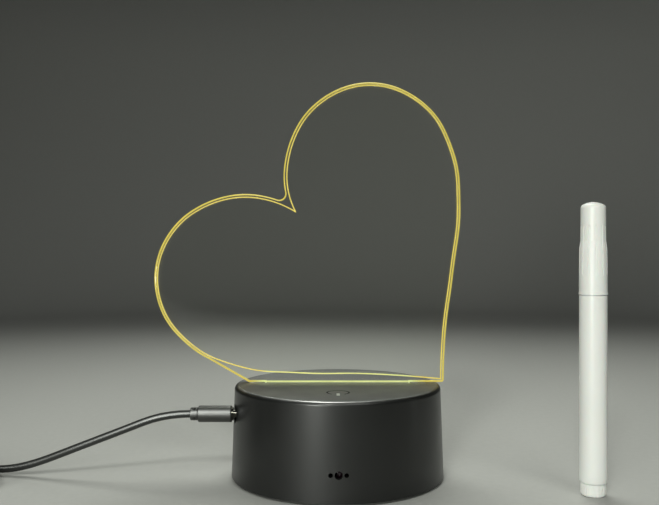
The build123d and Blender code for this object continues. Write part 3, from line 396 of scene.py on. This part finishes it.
def pressedFibre(name, values):
    # Pressed polyester fibre, dry or soaked with ink: matt, with strands along Z. A real
    # strand is a tenth as thick and is drawn coarser, so that it shows.
    look = {**plainFibre, **values}
    material, tree, shader, place = newMaterial(
        name, Roughness=look["roughness"], Sheen_Weight=look["sheen"]
    )
    drawn = addNode(tree, "Mapping", {"Scale": look["stretch"]}, {"Vector": place})
    strandScale = {"Scale": 1 / (look["strand"] * mm), "Detail": 3.0}
    strands = addNode(tree, "TexNoise", strandScale, {"Vector": drawn})
    ends = {"data_type": "RGBA", 6: srgb(look["dark"]), 7: srgb(look["colour"])}
    tree.links.new(addNode(tree, "Mix", ends, {0: strands}, 2), shader.inputs["Base Color"])
    bump = addNode(tree, "Bump", {"Distance": look["depth"] * mm}, {"Height": strands})
    tree.links.new(bump, shader.inputs["Normal"])
    return material


plainRubber = {
    "roughness": 0.8,
    "dust": 1.2,
    "bloomSpan": {"From Min": 0.45, "From Max": 0.8},  # the dustier half of the noise
    "depth": 0.03,
}


def mouldedRubber(name, values):
    # Moulded rubber: matt black with a dusty bloom in patches
    look = {**plainRubber, **values}
    material, tree, shader, place = newMaterial(name, Roughness=look["roughness"])
    dustScale = {"Scale": 1 / (look["dust"] * mm), "Detail": 4.0}
    dust = addNode(tree, "TexNoise", dustScale, {"Vector": place})
    patches = addNode(tree, "MapRange", look["bloomSpan"], {"Value": dust})
    ends = {"data_type": "RGBA", 6: srgb(look["colour"]), 7: srgb(look["bloom"])}
    tree.links.new(addNode(tree, "Mix", ends, {0: patches}, 2), shader.inputs["Base Color"])
    bump = addNode(tree, "Bump", {"Distance": look["depth"] * mm}, {"Height": dust})
    tree.links.new(bump, shader.inputs["Normal"])
    return material


boardLook = {
    "mask": "#0F4A2B",
    "track": "#1B6A3E",
    "roughness": 0.32,
    "ior": 1.5,
    "trackPitch": 0.9,
    "trackLength": 5.0,  # in pitches
    "gap": 0.16,  # in pitches
    "gapBlur": 0.2,
    "depth": 0.03,
}


def solderMask(name, look):
    # Glass epoxy board under glossy mask, its copper tracks a shade lighter and a little proud
    material, tree, shader, place = newMaterial(
        name, IOR=look["ior"], Roughness=look["roughness"]
    )
    tracks = {
        "Scale": 1 / (look["trackPitch"] * mm),
        "Brick Width": look["trackLength"],
        "Row Height": 1.0,
        "Mortar Size": look["gap"],
        "Mortar Smooth": look["gapBlur"],
    }
    between = addNode(tree, "TexBrick", tracks, {"Vector": place}, "Fac")
    ends = {"data_type": "RGBA", 6: srgb(look["track"]), 7: srgb(look["mask"])}
    tree.links.new(addNode(tree, "Mix", ends, {0: between}, 2), shader.inputs["Base Color"])
    sunken = {"Distance": look["depth"] * mm, "invert": True}
    bump = addNode(tree, "Bump", sunken, {"Height": between})
    tree.links.new(bump, shader.inputs["Normal"])
    return material


filmLook = {
    "body": "#26282B",
    "end": "#B06A36",
    "roughness": 0.25,
    "metallic": 0.3,
    "ior": 1.5,
    "bandFrom": 16.0,  # where the copper-coloured end begins along X
    "bandBlur": 0.3,
    "wave": 2.5,
    "depth": 0.02,
}


def shrinkFilm(name, look):
    # Cell in plain shrink film, without print: a dark body and a copper-coloured end, with
    # the slow waves that the film shrinks into
    material, tree, shader, place = newMaterial(
        name, IOR=look["ior"], Roughness=look["roughness"], Metallic=look["metallic"]
    )
    along = addNode(tree, "SeparateXYZ", {}, {0: place}, "X")
    bandTo = look["bandFrom"] + look["bandBlur"]
    band = {"From Min": look["bandFrom"] * mm, "From Max": bandTo * mm}
    end = addNode(tree, "MapRange", band, {"Value": along})
    ends = {"data_type": "RGBA", 6: srgb(look["body"]), 7: srgb(look["end"])}
    tree.links.new(addNode(tree, "Mix", ends, {0: end}, 2), shader.inputs["Base Color"])
    waves = addNode(tree, "TexNoise", {"Scale": 1 / (look["wave"] * mm)}, {"Vector": place})
    bump = addNode(tree, "Bump", {"Distance": look["depth"] * mm}, {"Height": waves})
    tree.links.new(bump, shader.inputs["Normal"])
    return material


lampLook = {
    "resin": "#F1E6A8",
    "phosphor": "#F4DC55",
    "roughness": 0.3,
    "strength": 1.5,
    "spot": 0.5,
}


def lampPhosphor(name, look):
    # White lamp package with its yellow phosphor lit, brighter and paler in spots
    material, tree, shader, place = newMaterial(
        name, Roughness=look["roughness"], Emission_Strength=look["strength"]
    )
    spots = addNode(tree, "TexNoise", {"Scale": 1 / (look["spot"] * mm)}, {"Vector": place})
    ends = {"data_type": "RGBA", 6: srgb(look["resin"]), 7: srgb(look["phosphor"])}
    tone = addNode(tree, "Mix", ends, {0: spots}, 2)
    tree.links.new(tone, shader.inputs["Base Color"])
    tree.links.new(tone, shader.inputs["Emission Color"])
    return material


housingLook = {"colour": "#0D0E0D", "roughness": 0.42, "specular": 0.4, "coat": 0.3}
penLook = {"colour": "#E6E6E3", "shade": 0.97, "roughness": 0.33, "ior": 1.49}
penLook.update({"subsurface": 0.1, "grain": 1.2, "depth": 0.006})
plugLook = {"colour": "#131412", "roughness": 0.42, "specular": 0.8}
plugLook.update({"grain": 0.6, "depth": 0.01})
jacketLook = {"colour": "#161716", "roughness": 0.3, "grain": 0.9, "depth": 0.01}
windowLook = {"colour": "#1C1016", "roughness": 0.12, "depth": 0.002}

materials = {
    "housing": mouldedPlastic("satinBlackAbs", housingLook),
    "whiteAbs": mouldedPlastic("whiteReflectorAbs", {"colour": "#E6E5DE", "roughness": 0.45}),
    "acrylic": castAcrylic("clearCastAcrylic", plateLook),
    "nickel": platedMetal("nickelPlate", {"colour": "#C9C6BC", "roughness": 0.18}),
    # The plug's sleeve sits in the jack's dark hole: its nickel is painted dark as painted
    # shade, leaving only a small glint
    "sleeve": platedMetal("shadeDarkenedNickelPlate", {"colour": "#45443F", "roughness": 0.14}),
    "steel": platedMetal("zincPlatedSteel", {"colour": "#A3A5A8", "roughness": 0.3}),
    "gold": platedMetal("goldPlate", {"colour": "#E2BC5A", "roughness": 0.2}),
    "cordPvc": mouldedPlastic("extrudedBlackPvc", jacketLook),
    "plugPvc": mouldedPlastic("mouldedBlackPvc", plugLook),
    "redPvc": mouldedPlastic("redWirePvc", {"colour": "#A21C17", "roughness": 0.4}),
    "rubber": mouldedRubber("blackPadRubber", {"colour": "#151515", "bloom": "#2C2C2B"}),
    "band": mouldedRubber("blackBandRubber", {"colour": "#1B1B1C", "bloom": "#333332"}),
    "pen": mouldedPlastic("offWhitePolypropylene", penLook),
    "fibre": pressedFibre("whitePolyesterFibre", {"colour": "#E4E3D6", "dark": "#BDBBAA"}),
    "nib": pressedFibre("inkedFibreNib", {"colour": "#E2D23C", "dark": "#A89A1E"}),
    "board": solderMask("greenSolderMask", boardLook),
    "film": shrinkFilm("plainShrinkFilm", filmLook),
    "phosphor": lampPhosphor("litPhosphor", lampLook),
    "epoxy": mouldedPlastic(
        "blackChipEpoxy", {"colour": "#141414", "roughness": 0.5, "grain": 0.3}
    ),
    "darkEpoxy": mouldedPlastic("darkWindowEpoxy", windowLook),
    "canSleeve": mouldedPlastic("darkCanSleeve", {"colour": "#20283A", "roughness": 0.3}),
}

finishes = {
    "housing": ["base_shell", "bottom_cover", "battery_door"],
    "rubber": ["rubber_feet"],
    "band": ["coil_tie"],
    "steel": ["cover_screws", "guide_screws", "board_screws"],
    "film": ["aa_cells"],
    "nickel": [
        "contact_plates",
        "contact_springs",
        "touch_spring",
        "receiver_legs",
        "jack_pin",
        "usb_plug_shell",
    ],
    "sleeve": ["plug_barrel"],
    "gold": ["usb_contacts"],
    "whiteAbs": ["slot_guide", "lead_socket", "usb_tongue"],
    "board": ["led_board", "main_board"],
    "phosphor": ["led_chips"],
    "redPvc": ["led_leads", "battery_leads"],
    "epoxy": ["controller_chip", "chip_resistors", "dc_jack"],
    "canSleeve": ["capacitor"],
    "darkEpoxy": ["ir_receiver"],
    "acrylic": ["writing_plate"],
    "plugPvc": ["plug_body", "plug_collar", "usb_plug_body"],
    "cordPvc": ["cord_run", "cord_coil", "cord_tail"],
    "pen": ["pen_barrel", "pen_tail_plug", "pen_nib_holder", "pen_cap"],
    "fibre": ["pen_reservoir"],
    "nib": ["pen_nib"],
}
for finish, names in finishes.items():
    for name in names:
        nodes[name].data.materials.clear()
        nodes[name].data.materials.append(materials[finish])
lead.data.materials.append(materials["cordPvc"])
dressed = sum(len(names) for names in finishes.values())
print("materials made for", dressed, "nodes of", len(nodes))

# Touch sign on the roof: a ring open at the front, with a bar in its gap, in mm

signLook = {
    "middle": (0.0, -22.2),
    "ringRadius": 4.25,
    "ringWidth": 0.75,
    "gapDegrees": 70.0,
    "ringPoints": 64,
    "barWidth": 1.3,
    "barFrom": -29.0,
    "barTo": -24.4,
    "barPoints": 8,
    "thickness": 0.05,
    "sunk": 0.01,  # how far the print reaches into the roof
    "acrossPoints": 9,
    "ringInk": {"colour": "#1B1C1A", "roughness": 0.75, "specular": 0.1, "depth": 0.003},
    "barInk": {"colour": "#BDBFB8", "roughness": 0.45, "depth": 0.003},
}


def stripAlong(line, width, look, low):
    # Print along a line of points: each ring is the point plus u sideways and v up, where
    # (u, v) goes round a half ellipse, width across and thickness high, with a flat foot
    way = np.gradient(line, axis=0)
    way = way / np.linalg.norm(way, axis=1, keepdims=True)
    side = np.stack([way[:, 1], -way[:, 0]], axis=-1)
    turn = np.linspace(0, math.pi, look["acrossPoints"])
    u = width / 2 * np.cos(turn)
    v = look["thickness"] * np.sin(turn)
    flat = line[:, None, :] + side[:, None, :] * u[None, :, None]
    z = low + v[None, :] + 0 * flat[..., 0]
    return np.concatenate([flat, z[..., None]], axis=-1) * mm


def makeSign(look):
    # The ring's line is the middle plus the radius times (cos a, sin a), with a from one end
    # of the gap at the front round to the other, and the bar's line is straight along Y
    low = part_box("base_shell")[1].z / mm - look["sunk"]
    half = math.radians(look["gapDegrees"]) / 2
    angle = np.linspace(half - math.pi / 2, math.pi * 3 / 2 - half, look["ringPoints"])
    circle = np.stack([np.cos(angle), np.sin(angle)], axis=-1)
    ringLine = look["middle"] + look["ringRadius"] * circle
    along = np.linspace(look["barFrom"], look["barTo"], look["barPoints"])
    barLine = np.stack([look["middle"][0] + 0 * along, along], axis=-1)
    ring = gridMesh("touchRing", stripAlong(ringLine, look["ringWidth"], look, low))
    bar = gridMesh("touchBar", stripAlong(barLine, look["barWidth"], look, low))
    inks = {ring: ("mattDarkPadInk", look["ringInk"]), bar: ("satinPalePadInk", look["barInk"])}
    for piece, (name, ink) in inks.items():
        piece.data.materials.append(mouldedPlastic(name, ink))
        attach(piece, "base")


makeSign(signLook)
print("touch sign made")

# Paper bowl and lights, in metres and watts

roomLook = {
    "paper": "#AEAEAB",
    "fleck": "#B6B6B3",
    "fleckSize": 0.003,
    "paperRoughness": 0.9,
    "flatRadius": 0.9,
    "bendRadius": 0.5,
    "wallHeight": 1.1,
    "thickness": 0.01,
    "middleRadius": 0.02,  # innermost ring of the floor, which the last face closes
    "bendPoints": 24,
    "aroundPoints": 96,
    "worldColour": "#CDD1D4",
    "worldStrength": 0.04,
    "aimHeight": 0.05,  # the softboxes face this height over the origin
    "beamDegrees": 90.0,  # how wide each softbox throws its light
    "lightColour": "#FAFEF6",
    "lights": {
        "overheadBox": {"place": (0.0, 0.3, 0.8), "size": (0.4, 0.4), "power": 0.9},
        "rimBox": {
            "place": (-0.08, 0.25, 0.75),
            "size": (0.2, 0.3),
            "power": 4.0,
            "onlyOn": ["base_shell"],
        },
        "plugBox": {
            "place": (-0.46, -0.74, 0.5),
            "size": (0.76, 0.9),
            "power": 6.2,
            "onlyOn": ["plug_body", "plug_collar", "powerLead"],
        },
        "backBox": {"place": (0.0, 0.78, 0.5), "size": (0.8, 0.25), "power": 0.3},
        "sideStrip": {"place": (-0.42, -0.95, 0.17), "size": (0.28, 0.32), "power": 1.45},
        "keyBox": {"place": (-0.2, -0.84, 0.66), "size": (0.14, 0.14), "power": 0.9},
        "fillBox": {"place": (0.38, -0.85, 0.9), "size": (0.5, 0.5), "power": 0.8},
    },
}


def makePaper(look):
    # Bowl turned about Z: flat out to a radius, round a quarter circle, then upright, and the
    # same way back a thickness further out, so that it is a closed sheet
    bend = np.linspace(0, math.pi / 2, look["bendPoints"])
    radius = look["flatRadius"] + look["bendRadius"] * np.sin(bend)
    rise = look["bendRadius"] * (1 - np.cos(bend))
    inner = np.vstack([[[look["middleRadius"], 0.0]], np.stack([radius, rise], axis=-1)])
    inner = np.vstack([inner, [[radius[-1], look["wallHeight"]]]])
    outer = inner[::-1] + [look["thickness"], -look["thickness"]]
    outer[-1, 0] = inner[0, 0]
    profile = np.vstack([inner, outer])[::-1]
    angle = np.linspace(0, 2 * math.pi, look["aroundPoints"], endpoint=False)[None, :]
    x = profile[:, :1] * np.cos(angle)
    y = profile[:, :1] * np.sin(angle)
    z = profile[:, 1:] + 0 * angle
    piece = gridMesh("paperBowl", np.stack([x, y, z], axis=-1))
    material, tree, shader, place = newMaterial("mattPaper", Roughness=look["paperRoughness"])
    fleckScale = {"Scale": 1 / look["fleckSize"], "Detail": 5.0}
    fleck = addNode(tree, "TexNoise", fleckScale, {"Vector": place})
    ends = {"data_type": "RGBA", 6: srgb(look["paper"]), 7: srgb(look["fleck"])}
    tree.links.new(addNode(tree, "Mix", ends, {0: fleck}, 2), shader.inputs["Base Color"])
    piece.data.materials.append(material)


def makeLight(name, look, room):
    # Softbox that faces the lamp. One with a list of pieces lights only those.
    data = bpy.data.lights.new(name, "AREA")
    data.shape = "RECTANGLE"
    data.size, data.size_y = look["size"]
    data.energy = look["power"]
    data.spread = math.radians(room["beamDegrees"])
    data.color = srgb(room["lightColour"])[:3]
    light = bpy.data.objects.new(name, data)
    light.location = look["place"]
    towards = Vector(look["place"]) - Vector((0, 0, room["aimHeight"]))
    light.rotation_euler = towards.to_track_quat("Z", "Y").to_euler()
    scene.collection.objects.link(light)
    if "onlyOn" in look:
        pieces = {**nodes, lead.name: lead}
        reach = bpy.data.collections.new(name + "Reach")
        for piece in look["onlyOn"]:
            reach.objects.link(pieces[piece])
        light.light_linking.receiver_collection = reach


makePaper(roomLook)
for name, lightLook in roomLook["lights"].items():
    makeLight(name, lightLook, roomLook)
world = bpy.data.worlds.new("studio")
world.use_nodes = True
background = next(node for node in world.node_tree.nodes if node.type == "BACKGROUND")
background.inputs["Color"].default_value = srgb(roomLook["worldColour"])
background.inputs["Strength"].default_value = roomLook["worldStrength"]
scene.world = world
print("paper and lights made")
